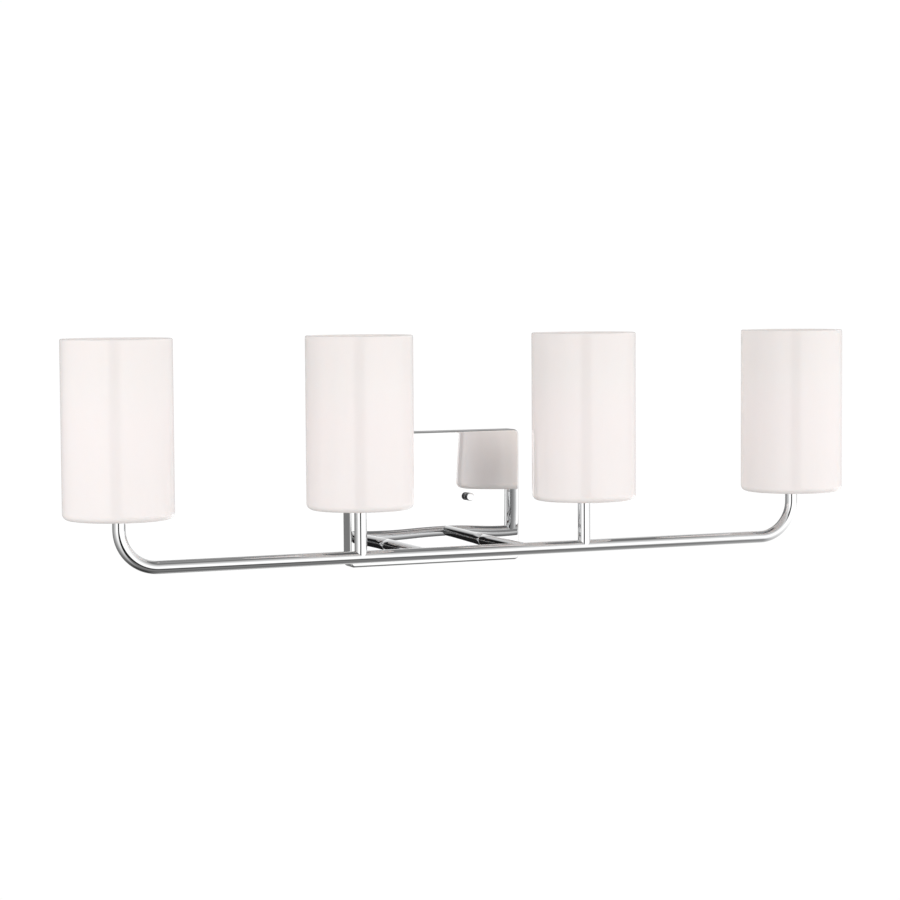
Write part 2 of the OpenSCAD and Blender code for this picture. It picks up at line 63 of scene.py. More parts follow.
bar_low, bar_high, bar_mid = span("main_bar")
arm_mid = span("arm_right")[2]
knob_mid = span("knob_right")[2]
pan_low, pan_high, pan_mid = span("backplate")
TUBE_R = (bar_high.y - bar_low.y) / 2
TUBE_WALL = 1.5 * MM
BAR_Y = bar_mid.y
BAR_Z = bar_low.z + TUBE_R
OUTER_X = bar_high.x - TUBE_R
BEND_R = 36 * MM
STEM_TOP = bar_high.z
FACE_Y = pan_low.y
STUD_X = knob_mid.x
STUD_Z = knob_mid.z


# ---- mesh helpers -----------------------------------------------------------

def make(name, verts, faces, body, material, sharp_deg=40.0):
    """One piece of the object, riding on a body, smooth except at its sharp edges."""
    mesh = bpy.data.meshes.new(name)
    mesh.from_pydata([tuple(v) for v in verts], [], faces)
    mesh.validate()
    bm = bmesh.new()
    bm.from_mesh(mesh)
    bmesh.ops.recalc_face_normals(bm, faces=bm.faces)
    bm.to_mesh(mesh)
    bm.free()
    obj = bpy.data.objects.new(name, mesh)
    bpy.context.scene.collection.objects.link(obj)
    mesh.materials.append(material)
    smooth(obj, sharp_deg)
    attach(obj, body)
    return obj


def smooth(obj, sharp_deg=40.0):
    mesh = obj.data
    mesh.polygons.foreach_set("use_smooth", [True] * len(mesh.polygons))
    mesh.set_sharp_from_angle(angle=math.radians(sharp_deg))


def lathe(profile, centre, segments=128, axis="Z", wave=None):
    """Closed (r, h) profile turned about an axis through centre. wave(angle, r, h) may change r."""
    verts, faces = [], []
    n = len(profile)
    for k in range(segments):
        t = TAU * k / segments
        for r, h in profile:
            rr = wave(t, r, h) if wave else r
            x, y = rr * math.cos(t), rr * math.sin(t)
            if axis == "Z":
                p = Vector((x, y, h))
            else:
                p = Vector((x, -h, y))
            verts.append(centre + p)
    for k in range(segments):
        a, b = k * n, (k + 1) % segments * n
        for i in range(n):
            j = (i + 1) % n
            faces.append((a + i, a + j, b + j, b + i))
    return verts, faces


def arc(cx, cy, r, start, end, steps):
    """Points on a circle from start to end degrees, both ends included."""
    out = []
    for k in range(steps + 1):
        t = math.radians(start + (end - start) * k / steps)
        out.append((cx + r * math.cos(t), cy + r * math.sin(t)))
    return out


def weld(verts, faces, limit=1e-7):
    """Joins points that lie together, such as those on a lathe's axis."""
    keep, index, out = {}, [], []
    for v in verts:
        key = tuple(round(c / limit) for c in v)
        if key not in keep:
            keep[key] = len(out)
            out.append(v)
        index.append(keep[key])
    new = []
    for f in faces:
        g = []
        for i in f:
            if index[i] not in g:
                g.append(index[i])
        if len(g) > 2:
            new.append(tuple(g))
    return out, new


# ---- materials ----------------------------------------------------------------

def ramp_node(nt, stops, interpolation="LINEAR"):
    """A grey ramp through (position, value) stops."""
    node = nt.nodes.new("ShaderNodeValToRGB")
    ramp = node.color_ramp
    ramp.interpolation = interpolation
    ramp.elements[0].position = stops[0][0]
    ramp.elements[0].color = (stops[0][1],) * 3 + (1,)
    ramp.elements[1].position = stops[-1][0]
    ramp.elements[1].color = (stops[-1][1],) * 3 + (1,)
    for where, value in stops[1:-1]:
        e = ramp.elements.new(where)
        e.color = (value,) * 3 + (1,)
    return node


class Mat:
    """A Principled material with helpers for its procedural detail."""

    def __init__(self, name, **sockets):
        self.m = bpy.data.materials.new(name)
        self.m.use_nodes = True
        self.nt = self.m.node_tree
        self.bsdf = self.nt.nodes["Principled BSDF"]
        for key, value in sockets.items():
            self.bsdf.inputs[key.replace("_", " ")].default_value = value
        self.coord = self.nt.nodes.new("ShaderNodeTexCoord")

    def link(self, a, b):
        self.nt.links.new(a, b)

    def stretched(self, scale):
        """Object coordinates, stretched by a factor for each axis."""
        node = self.nt.nodes.new("ShaderNodeMapping")
        node.inputs["Scale"].default_value = scale
        self.link(self.coord.outputs["Object"], node.inputs["Vector"])
        return node.outputs["Vector"]

    def noise(self, scale, detail=4.0, rough=0.55, stretch=(1, 1, 1), warp=0.0):
        node = self.nt.nodes.new("ShaderNodeTexNoise")
        node.inputs["Scale"].default_value = scale
        node.inputs["Detail"].default_value = detail
        node.inputs["Roughness"].default_value = rough
        node.inputs["Distortion"].default_value = warp
        self.link(self.stretched(stretch), node.inputs["Vector"])
        return node.outputs["Fac"]

    def spread(self, fac, low, high, to_low, to_high):
        node = self.nt.nodes.new("ShaderNodeMapRange")
        node.inputs["From Min"].default_value = low
        node.inputs["From Max"].default_value = high
        node.inputs["To Min"].default_value = to_low
        node.inputs["To Max"].default_value = to_high
        self.link(fac, node.inputs["Value"])
        return node.outputs["Result"]

    def blend(self, fac, a, b):
        node = self.nt.nodes.new("ShaderNodeMix")
        node.data_type = "RGBA"
        for socket, value in ((node.inputs[6], a), (node.inputs[7], b)):
            if isinstance(value, tuple):
                socket.default_value = (*value, 1)
            else:
                self.link(value, socket)
        self.link(fac, node.inputs[0])
        return node.outputs[2]

    def colour(self, socket):
        self.link(socket, self.bsdf.inputs["Base Color"])

    def rough(self, socket):
        self.link(socket, self.bsdf.inputs["Roughness"])

    def bump(self, fac, strength, distance, under=None):
        node = self.nt.nodes.new("ShaderNodeBump")
        node.inputs["Strength"].default_value = strength
        node.inputs["Distance"].default_value = distance
        self.link(fac, node.inputs["Height"])
        if under:
            self.link(under.outputs["Normal"], node.inputs["Normal"])
        self.link(node.outputs["Normal"], self.bsdf.inputs["Normal"])
        return node

    def dished(self, radius, under=None):
        """Bends the light as a sheet does that is pulled in a little at its middle, along X only."""
        split = self.nt.nodes.new("ShaderNodeSeparateXYZ")
        self.link(self.coord.outputs["Object"], split.inputs[0])
        square = self.nt.nodes.new("ShaderNodeMath")
        square.operation = "MULTIPLY"
        self.link(split.outputs["X"], square.inputs[0])
        self.link(split.outputs["X"], square.inputs[1])
        return self.bump(square.outputs[0], 1.0, 0.5 / radius, under)


MOULD_GRAIN = 0.03 * MM
FINE_GRAIN = 0.02 * MM
TURNED_GRAIN = 0.01 * MM
TUBE_WAVE = 0.02 * MM
SHEET_WAVE = 1.8 * MM
SHEET_DISH_R = 2.9


def metal(name, light, dark, smooth_at, rough_at, bump=0.0, wave=0.0, dish=0.0):
    """A metal with slight changes of tone and finger haze, and if asked a grain, slow waves and a hollow."""
    mat = Mat(name, Metallic=1.0)
    cloud = mat.noise(14, 5, 0.6, warp=0.4)
    mat.colour(mat.blend(mat.spread(cloud, 0.35, 0.7, 0, 1), light, dark))
    haze = mat.noise(33, 6, 0.62, warp=1.2)
    mat.rough(mat.spread(haze, 0.4, 0.75, smooth_at, rough_at))
    under = None
    if wave:
        swell = mat.noise(11, 0.0, 0.4)
        under = mat.bump(swell, 1.0, wave)
    if dish:
        under = mat.dished(dish, under)
    if bump:
        grit = mat.noise(180, 3, 0.5)
        mat.bump(grit, 1.0, bump, under)
    return mat


def plastic(name, light, dark, smooth_at, rough_at):
    """A moulded plastic: faint flow clouds, uneven gloss and a fine mould texture."""
    mat = Mat(name)
    cloud = mat.noise(22, 4, 0.55, warp=0.8)
    mat.colour(mat.blend(mat.spread(cloud, 0.35, 0.7, 0, 1), light, dark))
    haze = mat.noise(48, 5, 0.6)
    mat.rough(mat.spread(haze, 0.35, 0.7, smooth_at, rough_at))
    mat.bump(mat.noise(260, 2, 0.5), 1.0, MOULD_GRAIN)
    return mat


CHROME_LIGHT = (0.8, 0.805, 0.81)
CHROME_DARK = (0.78, 0.787, 0.797)
chrome = metal("chrome_tube", CHROME_LIGHT, CHROME_DARK, 0.02, 0.05, wave=TUBE_WAVE).m
SHEET_LIGHT = (0.78, 0.783, 0.786)
SHEET_DARK = (0.76, 0.765, 0.772)
sheet_chrome = metal("chrome_sheet", SHEET_LIGHT, SHEET_DARK, 0.01, 0.03,
                     wave=SHEET_WAVE, dish=SHEET_DISH_R).m


def ribbed_metal_painted_shade(name, shade):
    """Chrome, bright on its flat front, with painted shade darkening its ribbed side all round."""
    mat = metal(name, CHROME_LIGHT, CHROME_DARK, 0.03, 0.08)
    split = mat.nt.nodes.new("ShaderNodeSeparateXYZ")
    mat.link(mat.coord.outputs["Normal"], split.inputs[0])
    flat = mat.nt.nodes.new("ShaderNodeMath")
    flat.operation = "ABSOLUTE"
    mat.link(split.outputs["Y"], flat.inputs[0])
    # Painted shade: the colour blends towards the dark one where the surface faces sideways rather than to
    # the front.
    unshaded_colour = mat.bsdf.inputs["Base Color"].links[0].from_socket
    mat.colour(mat.blend(mat.spread(flat.outputs[0], 0.2, 0.75, 0, 1), shade, unshaded_colour))
    return mat


# The near-black colour is painted shade for the knob's ribbed side.
knob_chrome = ribbed_metal_painted_shade("chrome_knob", (0.1, 0.1, 0.105)).m
zinc = metal("zinc_steel", (0.62, 0.63, 0.62), (0.5, 0.52, 0.55), 0.28, 0.45, bump=FINE_GRAIN).m
brass = metal("brass", (0.72, 0.55, 0.25), (0.62, 0.45, 0.2), 0.22, 0.4, bump=TURNED_GRAIN).m
nickel = metal("nickel", (0.66, 0.64, 0.6), (0.55, 0.54, 0.51), 0.2, 0.34, bump=TURNED_GRAIN).m
copper = metal("copper", (0.78, 0.4, 0.26), (0.6, 0.28, 0.17), 0.25, 0.42).m
green = metal("green_steel", (0.04, 0.3, 0.12), (0.03, 0.22, 0.09), 0.25, 0.4).m
black_wire = plastic("black_wire", (0.02, 0.02, 0.021), (0.03, 0.03, 0.03), 0.35, 0.5).m
white_wire = plastic("white_wire", (0.82, 0.82, 0.8), (0.75, 0.75, 0.72), 0.35, 0.5).m
orange = plastic("orange_plastic", (0.85, 0.28, 0.04), (0.75, 0.22, 0.03), 0.35, 0.5).m
nylon = plastic("nylon", (0.8, 0.8, 0.77), (0.74, 0.74, 0.7), 0.3, 0.42).m
rubber = plastic("rubber", (0.12, 0.12, 0.12), (0.09, 0.09, 0.09), 0.6, 0.8).m
phenolic = plastic("phenolic", (0.84, 0.82, 0.76), (0.78, 0.76, 0.7), 0.25, 0.4).m
ring_white = plastic("ring_white", (0.85, 0.84, 0.8), (0.8, 0.79, 0.75), 0.25, 0.4).m
housing = plastic("bulb_housing", (0.86, 0.86, 0.84), (0.82, 0.82, 0.8), 0.35, 0.5).m
insulator = plastic("bulb_insulator", (0.02, 0.02, 0.025), (0.035, 0.03, 0.035), 0.15, 0.3).m
frosted = plastic("bulb_frost", (0.9, 0.88, 0.84), (0.87, 0.85, 0.8), 0.4, 0.55).m


def opal_glass():
    """Opal glass: a polished skin over milky glass with slow clouds, and a painted glow standing in for
    light from within, strongest in its middle and dimmer at its foot and rim.
    """
    mat = Mat("opal_glass", IOR=1.5, Subsurface_Weight=0.35, Subsurface_Scale=0.006)
    mat.bsdf.inputs["Subsurface Radius"].default_value = (1.0, 0.8, 0.7)
    cloud = mat.noise(9, 3, 0.5, stretch=(1, 1, 0.35), warp=0.5)
    mat.colour(mat.blend(mat.spread(cloud, 0.3, 0.7, 0, 1), (0.8, 0.76, 0.75), (0.775, 0.74, 0.731)))
    haze = mat.noise(26, 4, 0.6)
    mat.rough(mat.spread(haze, 0.35, 0.7, 0.06, 0.12))
    mat.bump(mat.noise(20, 1.5, 0.4, stretch=(1, 1, 0.3)), 1.0, 0.04 * MM)
    split = mat.nt.nodes.new("ShaderNodeSeparateXYZ")
    mat.link(mat.coord.outputs["Object"], split.inputs[0])
    shade_low, shade_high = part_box("shade_1")
    # Painted glow: emission by height that stands in for lamplight inside the glass, weakest at the foot,
    # strongest mid-height, dimmer at the rim.
    glow = ramp_node(mat.nt, [(0.0, 0.5), (0.035, 0.95), (0.5, 1.0), (1.0, 0.75)], "EASE")
    mat.link(mat.spread(split.outputs["Z"], shade_low.z, shade_high.z, 0, 1), glow.inputs[0])
    mat.link(mat.spread(glow.outputs["Color"], 0, 1, 0.0, 0.205), mat.bsdf.inputs["Emission Strength"])
    # The painted glow turns warmer where it is strongest.
    painted_glow_warmth = mat.spread(glow.outputs["Color"], 0.9, 1, 0, 1)
    mat.link(mat.blend(painted_glow_warmth, (1.0, 0.965, 0.95), (1.0, 0.9, 0.9)), mat.bsdf.inputs["Emission Color"])
    return mat.m


opal = opal_glass()

FINISH = {
    "polished_chrome": chrome, "zinc_steel": zinc, "brass": brass, "green_screw": green,
    "black_wire": black_wire, "white_wire": white_wire, "bare_copper": copper, "splice_plastic": orange,
    "clear_nylon": nylon, "seal_rubber": rubber, "holder_phenolic": phenolic, "ring_phenolic": ring_white,
    "opal_glass": opal, "nickel_base": nickel, "bulb_housing": housing, "bulb_diffuser": frosted,
}
slots = {p["node"]: p["material_slot"] for p in frame["record"]["subparts"]}
for node_name, node_obj in frame["nodes"].items():
    node_obj.data.materials.clear()
    node_obj.data.materials.append(FINISH[slots[node_name]])
    smooth(node_obj, 30)


# ---- glass shades ---------------------------------------------------------------

GLASS_WALL = 3 * MM
GLASS_FLOOR = 4 * MM
GLASS_CORNER = 6 * MM
GLASS_HOLE_R = 21 * MM
GLASS_HOLE_EDGE = 0.5 * MM
GLASS_SEAT_R = 30 * MM


def glass_profile(r, height):
    """Half section of a glass: outside wall, fire-polished lip, inside wall, floor and its hole."""
    lip = GLASS_WALL / 2
    inner = r - GLASS_WALL
    round_in = GLASS_CORNER - GLASS_WALL
    edge = GLASS_HOLE_EDGE
    hole = GLASS_HOLE_R + edge
    out = [(hole, 0), (GLASS_SEAT_R, 0)]
    out += arc(r - GLASS_CORNER, GLASS_CORNER, GLASS_CORNER, -90, 0, 12)
    out += [(r, height * f) for f in (0.08, 0.3, 0.5, 0.7, 0.95)]
    out += arc(r - lip, height - lip, lip, 0, 180, 12)
    out += [(inner, height * f) for f in (0.95, 0.7, 0.5, 0.3, 0.1)]
    out += arc(inner - round_in, GLASS_FLOOR + round_in, round_in, 0, -90, 8)
    out += [(GLASS_SEAT_R, GLASS_FLOOR), (hole, GLASS_FLOOR)]
    out += arc(hole, GLASS_FLOOR - edge, edge, 90, 180, 4)[1:]
    out += arc(hole, edge, edge, 180, 270, 4)[:-1]
    return out


for i in LIGHTS:
    low, high, mid = span(f"shade_{i}")
    centre = Vector((mid.x, mid.y, low.z))
    verts, faces = lathe(glass_profile((high.x - low.x) / 2, high.z - low.z), centre, 160)
    glass = make(f"glass_{i}", verts, faces, "fixture", opal, 50)
    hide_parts(f"shade_{i}")


# ---- tubes -------------------------------------------------------------------

AROUND = 72
BEND_STEPS = 28


def tube_along(path, r_out, r_in):
    """A closed tube along points that lie in a plane of constant Y; each is (point, direction)."""
    verts, faces = [], []
    side = Vector((0, 1, 0))
    for point, along in path:
        up = side.cross(along).normalized()
        for r in (r_out, r_in):
            for k in range(AROUND):
                t = TAU * k / AROUND
                verts.append(point + r * (math.cos(t) * side + math.sin(t) * up))
    ring = 2 * AROUND
    for s in range(len(path) - 1):
        for shell in (0, AROUND):
            for k in range(AROUND):
                a = s * ring + shell + k
                b = s * ring + shell + (k + 1) % AROUND
                faces.append((a, b, b + ring, a + ring))
    for s in (0, len(path) - 1):
        for k in range(AROUND):
            a, b = s * ring + k, s * ring + (k + 1) % AROUND
            faces.append((a, b, b + AROUND, a + AROUND))
    return verts, faces


def bend(centre_x, start):
    """A quarter turn of the bar's path about centre_x, as (point, direction) pairs."""
    out = []
    for k in range(BEND_STEPS + 1):
        t = math.radians(start + 90 * k / BEND_STEPS)
        spot = Vector((centre_x + BEND_R * math.cos(t), BAR_Y, BAR_Z + BEND_R + BEND_R * math.sin(t)))
        out.append((spot, Vector((-math.sin(t), 0, math.cos(t)))))
    return out


def bar_path():
    """Down the left upright, along the bar and up the right upright."""
    straight = OUTER_X - BEND_R
    path = [(Vector((-OUTER_X, BAR_Y, STEM_TOP)), Vector((0, 0, -1)))]
    path += bend(-OUTER_X + BEND_R, 180)
    for f in (-0.66, -0.33, 0.0, 0.33, 0.66):
        path.append((Vector((straight * f, BAR_Y, BAR_Z)), Vector((1, 0, 0))))
    path += bend(straight, 270)
    path.append((Vector((OUTER_X, BAR_Y, STEM_TOP)), Vector((0, 0, 1))))
    return path


verts, faces = tube_along(bar_path(), TUBE_R, TUBE_R - TUBE_WALL)
bar = make("bar", verts, faces, "fixture", chrome)
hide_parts("main_bar")


RIM_ROUND = 0.5 * MM


def coped_tube(foot, end, cross):
    """A tube from its saddle on the bar, whose axis runs along X through foot, to its rounded rim at end."""
    along = (end - foot).normalized()
    x = Vector((1, 0, 0))
    side = along.cross(x)
    length = (end - foot).length
    verts, faces = [], []
    stops = [(None, 0.0), (0.12, 0.0), (0.4, 0.0), (0.8, 0.0)]
    for k in range(5):
        t = math.radians(90 * k / 4)
        level = 1 - RIM_ROUND * (1 - math.sin(t)) / (length - TUBE_R)
        stops.append((level, RIM_ROUND * (1 - math.cos(t))))
    for level, trim in stops:
        for r in (TUBE_R, TUBE_R - TUBE_WALL):
            for k in range(AROUND):
                t = TAU * k / AROUND
                size = r - trim if r == TUBE_R else r
                off = size * (math.cos(t) * x + math.sin(t) * side)
                saddle = math.sqrt(max(0.0, cross * cross - (r * math.sin(t)) ** 2))
                reach = saddle if level is None else TUBE_R + (length - TUBE_R) * level
                verts.append(foot + off + along * reach)
    ring = 2 * AROUND
    for s in range(len(stops) - 1):
        for shell in (0, AROUND):
            for k in range(AROUND):
                a = s * ring + shell + k
                b = s * ring + shell + (k + 1) % AROUND
                faces.append((a, b, b + ring, a + ring))
    for s in (0, len(stops) - 1):
        for k in range(AROUND):
            a, b = s * ring + k, s * ring + (k + 1) % AROUND
            faces.append((a, b, b + AROUND, a + AROUND))
    return verts, faces


for side in ("left", "right"):
    low, high, mid = span(f"stem_{side}")
    verts, faces = coped_tube(Vector((mid.x, BAR_Y, BAR_Z)), Vector((mid.x, BAR_Y, high.z)), TUBE_R)
    stem = make(f"stem_tube_{side}", verts, faces, "fixture", chrome)
    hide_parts(f"stem_{side}")
    low, high, mid = span(f"arm_{side}")
    verts, faces = coped_tube(Vector((mid.x, BAR_Y, BAR_Z)), Vector((mid.x, high.y, BAR_Z)), TUBE_R)
    arm = make(f"arm_tube_{side}", verts, faces, "fixture", chrome)
    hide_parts(f"arm_{side}")


# ---- canopy -------------------------------------------------------------------

PAN_WALL = 1 * MM
PAN_CORNER = 5 * MM
PAN_ROLL = 2 * MM
NIPPLE_HOLE_R = 5.1 * MM
STUD_HOLE_R = 2.5 * MM


def outline(half_w, half_h, corner, steps=10):
    """A rounded rectangle as (x, z) points, anticlockwise seen from the front."""
    out = []
    for cx, cz, start in ((1, 1, 0), (-1, 1, 90), (-1, -1, 180), (1, -1, 270)):
        out += arc(cx * (half_w - corner), cz * (half_h - corner), corner, start, start + 90, steps)
    return out


def canopy_mesh():
    half_w = (pan_high.x - pan_low.x) / 2
    half_h = (pan_high.z - pan_low.z) / 2
    depth = pan_high.y - pan_low.y
    back = pan_high.y
    loops = [(0.0, back), (0.0, back - depth * 0.4)]
    for k in range(11):
        t = math.radians(90 * k / 10)
        loops.append((PAN_ROLL * (1 - math.cos(t)), FACE_Y + PAN_ROLL * (1 - math.sin(t))))
    loops.append((PAN_ROLL + 0.6 * MM, FACE_Y))
    inner_roll = PAN_ROLL - PAN_WALL
    inside = [(PAN_WALL, back), (PAN_WALL, back - depth * 0.4)]
    for k in range(7):
        t = math.radians(90 * k / 6)
        inset = PAN_WALL + inner_roll * (1 - math.cos(t))
        inside.append((inset, FACE_Y + PAN_WALL + inner_roll * (1 - math.sin(t))))
    inside.append((PAN_WALL + inner_roll + 0.6 * MM, FACE_Y + PAN_WALL))
    verts, faces = [], []

    def ring(inset, y):
        start = len(verts)
        for x, z in outline(half_w - inset, half_h - inset, PAN_CORNER - inset):
            verts.append(Vector((pan_mid.x + x, y, pan_mid.z + z)))
        return start

    def skin(rings):
        n = len(outline(half_w, half_h, PAN_CORNER))
        for a, b in zip(rings, rings[1:]):
            for k in range(n):
                j = (k + 1) % n
                faces.append((a + k, a + j, b + j, b + k))
        return n

    outer = [ring(*p) for p in loops]
    n = skin(outer)
    inner = [ring(*p) for p in inside]
    skin(inner)
    for k in range(n):
        j = (k + 1) % n
        faces.append((outer[0] + k, outer[0] + j, inner[0] + j, inner[0] + k))
    return verts, faces, outer[-1], inner[-1], n


def canopy():
    """The canopy as one pressed sheet, with the holes for the arms' nipples and the studs."""
    verts, faces, front, rear, n = canopy_mesh()
    hole_specs = []
    for place_x, z, r in ((arm_mid.x, BAR_Z, NIPPLE_HOLE_R), (STUD_X, STUD_Z, STUD_HOLE_R)):
        for x in (-place_x, place_x):
            hole_specs.append((x, z, r))
    mesh = bpy.data.meshes.new("canopy")
    bm = bmesh.new()
    vs = [bm.verts.new(v) for v in verts]
    for f in faces:
        bm.faces.new([vs[i] for i in f])
    steps = 40
    rims = []
    for x, z, r in hole_specs:
        pair = []
        for y in (FACE_Y, FACE_Y + PAN_WALL):
            angles = [TAU * k / steps for k in range(steps)]
            pair.append([bm.verts.new((x + r * math.cos(t), y, z + r * math.sin(t))) for t in angles])
        for k in range(steps):
            j = (k + 1) % steps
            bm.faces.new((pair[0][k], pair[0][j], pair[1][j], pair[1][k]))
        rims.append(pair)
    for level, start in ((0, front), (1, rear)):
        border = [vs[start + k] for k in range(n)]
        edges = [bm.edges.get((border[k], border[(k + 1) % n])) for k in range(n)]
        for pair in rims:
            rim = pair[level]
            edges += [bm.edges.get((rim[k], rim[(k + 1) % steps])) for k in range(steps)]
        bmesh.ops.triangle_fill(bm, use_beauty=True, use_dissolve=False, edges=edges)
    bmesh.ops.recalc_face_normals(bm, faces=bm.faces)
    bm.to_mesh(mesh)
    bm.free()
    obj = bpy.data.objects.new("canopy", mesh)
    bpy.context.scene.collection.objects.link(obj)
    mesh.materials.append(sheet_chrome)
    smooth(obj, 35)
    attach(obj, "fixture")
    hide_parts("backplate")


canopy()


# ---- knobs --------------------------------------------------------------------

KNOB_BORE_R = 2.4 * MM
KNOB_FRONT = 1.3 * MM
KNOB_RIBS = 36
RIB_DEPTH = 0.14 * MM


def knob_profile(r, length, bore, bore_l):
    """Half section of a knob from its axis: nearly flat front, round edge, straight grip, blind bore."""
    edge = 0.5 * MM
    out = [(0.0, length), (r * 0.5, length - 0.02 * MM), (r - edge - 0.3 * MM, length - 0.05 * MM)]
    out += arc(r - edge, length - 0.07 * MM - edge, edge, 80, 0, 6)
    out += [(r, length - 1.3 * MM), (r, length - 1.45 * MM)]
    out += [(r, length * 0.55), (r, length * 0.3), (r, 1.0 * MM)]
    out += [(r, 0.85 * MM), (r, 0.4 * MM), (r - 0.12 * MM, 0.12 * MM), (r - 0.4 * MM, 0.0)]
    out += [(bore, 0.0), (bore, bore_l), (0.0, bore_l)]
    return out


def knurl(t, r, h, full, length):
    """Fine straight knurling round the grip."""
    if r < full - 0.01 * MM or not 0.9 * MM < h < length - 1.4 * MM:
        return r
    return r - RIB_DEPTH * (0.5 + 0.5 * math.cos(KNOB_RIBS * t))


for side in ("left", "right"):
    low, high, mid = span(f"knob_{side}")
    r = (high.z - low.z) / 2
    length = high.y - low.y
    profile = knob_profile(r, length, KNOB_BORE_R, length - KNOB_FRONT)
    verts, faces = lathe(profile, Vector((mid.x, high.y, mid.z)), 288, "Y",
                         lambda t, rr, h: knurl(t, rr, h, r, length))
    verts, faces = weld(verts, faces)
    knob = make(f"finial_{side}", verts, faces, f"{side}_knob", knob_chrome, 35)
    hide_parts(f"knob_{side}")


# ---- bulbs --------------------------------------------------------------------

SCREW_R = 12.6 * MM
SCREW_CREST = 0.6 * MM
SCREW_PITCH = 3.63 * MM
SCREW_IN_R = 12.3 * MM
SHELL_RISE = 4 * MM
TIP_R = 4.6 * MM
TIP_H = 1.2 * MM
PLUG_R = 12.28 * MM
PLUG_LIP = 0.6 * MM
NECK_R = 13.5 * MM
NECK_H = 2.5 * MM
GLOBE_WALL = 1.2 * MM
GLOBE_GAP = 0.2 * MM


def bulb_thread(centre, low, high):
    """The rolled screw shell of a bulb: a helical wave that fades out at both ends."""
    around, verts, faces = 96, [], []
    rows = 84
    for s in range(rows + 1):
        h = low + (high - low) * s / rows
        fade = min(1.0, (h - low) / (2.4 * MM), (high - h) / (2.6 * MM))
        for k in range(around):
            t = TAU * k / around
            wave = 0.5 + 0.5 * math.cos(TAU * (h - low) / SCREW_PITCH - t)
            r = SCREW_R + SCREW_CREST * wave * max(0.0, fade)
            verts.append(centre + Vector((r * math.cos(t), r * math.sin(t), h)))
    for s in range(rows):
        for k in range(around):
            a, b = s * around + k, s * around + (k + 1) % around
            faces.append((a, b, b + around, a + around))
    inner = len(verts)
    for h in (low, high):
        for k in range(around):
            t = TAU * k / around
            verts.append(centre + Vector((SCREW_IN_R * math.cos(t), SCREW_IN_R * math.sin(t), h)))
    for k in range(around):
        j = (k + 1) % around
        faces.append((inner + k, inner + j, inner + around + j, inner + around + k))
        faces.append((k, j, inner + j, inner + k))
        top = rows * around
        faces.append((top + k, top + j, inner + around + j, inner + around + k))
    return verts, faces


def tip_profile(low):
    """The contact at the bottom of a bulb."""
    return [(0, low), (3.2 * MM, low), (4.3 * MM, low + 0.3 * MM), (TIP_R, low + 0.8 * MM),
            (TIP_R, low + TIP_H), (0, low + TIP_H)]


def plug_profile(low, shell_low):
    """The dark insulating cone between the contact and the screw shell."""
    return [(0, low + TIP_H), (4.8 * MM, low + TIP_H), (5.4 * MM, low + 1.5 * MM),
            (11.2 * MM, shell_low - 0.5 * MM), (12.2 * MM, shell_low), (PLUG_R, shell_low + PLUG_LIP),
            (0, shell_low + PLUG_LIP)]


def skirt_profile(shell_low, low, top, rim):
    """The housing: a core inside the screw, a neck, and a flare that eases out to the globe's rim."""
    out = [(0, shell_low + PLUG_LIP), (PLUG_R, shell_low + PLUG_LIP), (PLUG_R, low)]
    out += [(13.0 * MM, low), (13.4 * MM, low + 0.4 * MM), (NECK_R, low + NECK_H)]
    for k in range(1, 13):
        f = k / 12
        ease = f * f * (3 - 2 * f)
        flare_r = NECK_R + (rim - NECK_R) * (0.35 * f + 0.65 * ease)
        out.append((flare_r, low + NECK_H + (top - low - 3.4 * MM) * f))
    out += [(rim - 0.3 * MM, top - 0.5 * MM), (rim - 0.5 * MM, top), (0, top)]
    return out


def globe_profile(r, top, cut_z):
    """A hollow diffuser, cut where it sits on the housing."""
    centre_z = top - r
    start = math.degrees(math.asin((cut_z + GLOBE_GAP - centre_z) / r))
    outside = arc(0, centre_z, r, start, 90, 40)
    outside[-1] = (0.0, top)
    inside = arc(0, centre_z, r - GLOBE_WALL, 90, start, 40)
    inside[0] = (0.0, top - GLOBE_WALL)
    return outside + inside


def bulb(i):
    """One bulb: screw shell, contact, insulating cone, housing and diffuser."""
    base_low, base_high, mid = span(f"bulb_base_{i}")
    body_low, body_high, _ = span(f"bulb_body_{i}")
    globe_low, globe_high, _ = span(f"bulb_globe_{i}")
    body_name = f"bulb_{i}"
    centre = Vector((mid.x, mid.y, 0))
    shell_low = base_low.z + SHELL_RISE
    verts, faces = bulb_thread(centre, shell_low, base_high.z)
    shell = make(f"bulb_screw_{i}", verts, faces, body_name, nickel, 50)
    verts, faces = weld(*lathe(tip_profile(base_low.z), centre, 64))
    tip = make(f"bulb_tip_{i}", verts, faces, body_name, nickel)
    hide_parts(f"bulb_base_{i}")
    verts, faces = weld(*lathe(plug_profile(base_low.z, shell_low), centre, 96))
    plug = make(f"bulb_insulator_{i}", verts, faces, body_name, insulator)
    rim = (body_high.x - body_low.x) / 2
    verts, faces = weld(*lathe(skirt_profile(shell_low, base_high.z, body_high.z, rim), centre, 128))
    body = make(f"bulb_housing_{i}", verts, faces, body_name, housing, 45)
    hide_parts(f"bulb_body_{i}")
    globe_r = (globe_high.x - globe_low.x) / 2
    verts, faces = weld(*lathe(globe_profile(globe_r, globe_high.z, body_high.z), centre, 128))
    globe = make(f"bulb_diffuser_{i}", verts, faces, body_name, frosted, 50)
    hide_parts(f"bulb_globe_{i}")


for i in LIGHTS:
    bulb(i)


# ---- studio -------------------------------------------------------------------

CAM_AT = Vector((-0.9547, -2.2896, 0.2022))
CAM_YAW = 0.4038
CAM_PITCH = 0.0627
CAM_ROLL = -0.0064
CAM_LENS = 99.2


